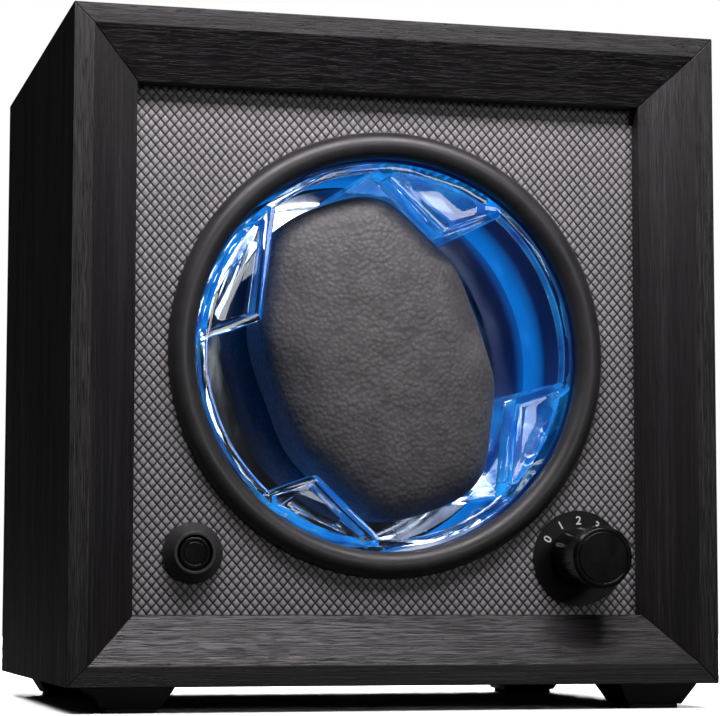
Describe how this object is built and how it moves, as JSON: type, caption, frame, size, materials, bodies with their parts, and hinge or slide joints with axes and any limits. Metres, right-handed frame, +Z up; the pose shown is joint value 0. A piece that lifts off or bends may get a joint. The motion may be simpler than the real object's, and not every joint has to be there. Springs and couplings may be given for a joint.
{
  "type": "watch winder box",
  "caption": "Square watch winder box with a splayed wood front, a lit round well with a clear rotor and leather cushion, a push button and a mode knob.",
  "frame": {"origin": "bottom centre of the whole object, on the surface it stands on", "axes": "+Z up, the front with the well and controls faces -Y, +X to the right seen from the front"},
  "size_m": [0.16, 0.1376, 0.166],
  "materials": {
    "black_oak": "open-pore black-stained oak veneer, satin",
    "embossed_panel": "dark grey embossed diamond covering",
    "baffle_mdf": "bare fibreboard",
    "satin_black": "satin black moulded",
    "gloss_black": "gloss black moulded",
    "mirror_black": "dark polished mirror finish",
    "matte_black": "fine matte moulded",
    "blue_frosted": "frosted light guide lit blue",
    "clear_acrylic": "clear polished acrylic",
    "circuit_board": "green solder mask",
    "led_blue": "blue LED packages, lit",
    "white_nylon": "natural nylon",
    "brass": "turned brass",
    "steel": "bright zinc-plated steel",
    "motor_steel": "drawn steel can",
    "black_screw": "black oxide",
    "dark_leather": "soft dark grey grained leather",
    "printed_dial": "matte black with pale printed numbers",
    "foot_pad": "soft foam rubber",
    "wire": "coloured wire insulation"
  },
  "bodies": {
    "cabinet": {"baffle_board": "baffle_mdf", "baffle_fabric": "embossed_panel", "board_components": "black_screw", "board_connectors": "white_nylon", "board_standoffs": "white_nylon", "bottom_board": "black_oak", "bracket_pillars": "steel", "bracket_screws": "steel", "button_bezel": "satin_black", "button_switch_body": "matte_black", "control_board": "circuit_board", "control_leads": "wire", "dc_jack_body": "matte_black", "dc_jack_nut": "steel", "dc_jack_pin": "brass", "dial_plate": "printed_dial", "drum_housing": "matte_black", "drum_screws": "steel", "foot_back_left": "satin_black", "foot_back_right": "satin_black", "foot_front_left": "satin_black", "foot_front_right": "satin_black", "foot_pads": "foot_pad", "foot_screws": "steel", "front_rail_bottom": "black_oak", "front_rail_left": "black_oak", "front_rail_right": "black_oak", "front_rail_top": "black_oak", "gearbox_case": "motor_steel", "led_board": "circuit_board", "led_lead": "wire", "leds": "led_blue", "light_sleeve": "blue_frosted", "motor_bracket": "steel", "motor_can": "motor_steel", "motor_screws": "steel", "power_leads": "wire", "rear_cover": "matte_black", "rear_cover_screws": "black_screw", "rotary_switch_body": "matte_black", "shaft_bush": "brass", "side_board_left": "black_oak", "side_board_right": "black_oak", "switch_nut": "steel", "top_board": "black_oak", "trim_ring": "satin_black"},
    "rotor": {"rotor_cage": "clear_acrylic", "rotor_back_disc": "mirror_black", "rotor_hub": "matte_black", "hub_screws": "steel", "rotor_shaft": "steel", "drive_wheel": "white_nylon", "shaft_clip": "steel"},
    "pinion": {"motor_pinion": "brass", "motor_shaft": "steel"},
    "cushion": {"cushion": "dark_leather"},
    "knob": {"mode_knob": "gloss_black", "switch_shaft": "steel"},
    "button": {"button_cap": "gloss_black", "button_spring": "steel"}
  },
  "joints": [
    {"name": "rotor_spin", "type": "hinge", "parent": "cabinet", "child": "rotor", "pos_m": [0, -0.00375, 0.086], "axis": [0, 1, 0], "continuous": true},
    {"name": "pinion_spin", "type": "hinge", "parent": "cabinet", "child": "pinion", "pos_m": [0, 0.00825, 0.054], "axis": [0, 1, 0], "continuous": true},
    {"name": "cushion_pull", "type": "slide", "parent": "rotor", "child": "cushion", "axis": [0, -1, 0], "range_m": [0, 0.06]},
    {"name": "mode_knob_turn", "type": "hinge", "parent": "cabinet", "child": "knob", "pos_m": [0.0485, -0.05875, 0.0365], "axis": [0, 1, 0], "range_deg": [0, 120]},
    {"name": "button_press", "type": "slide", "parent": "cabinet", "child": "button", "axis": [0, 1, 0], "range_m": [0, 0.0012], "stiffness_N_per_m": 150, "springref_m": -0.002, "deforming": ["button_spring"]}
  ],
  "couplings": [
    {"joint": "pinion_spin", "follows": "rotor_spin", "ratio": -4}
  ]
}
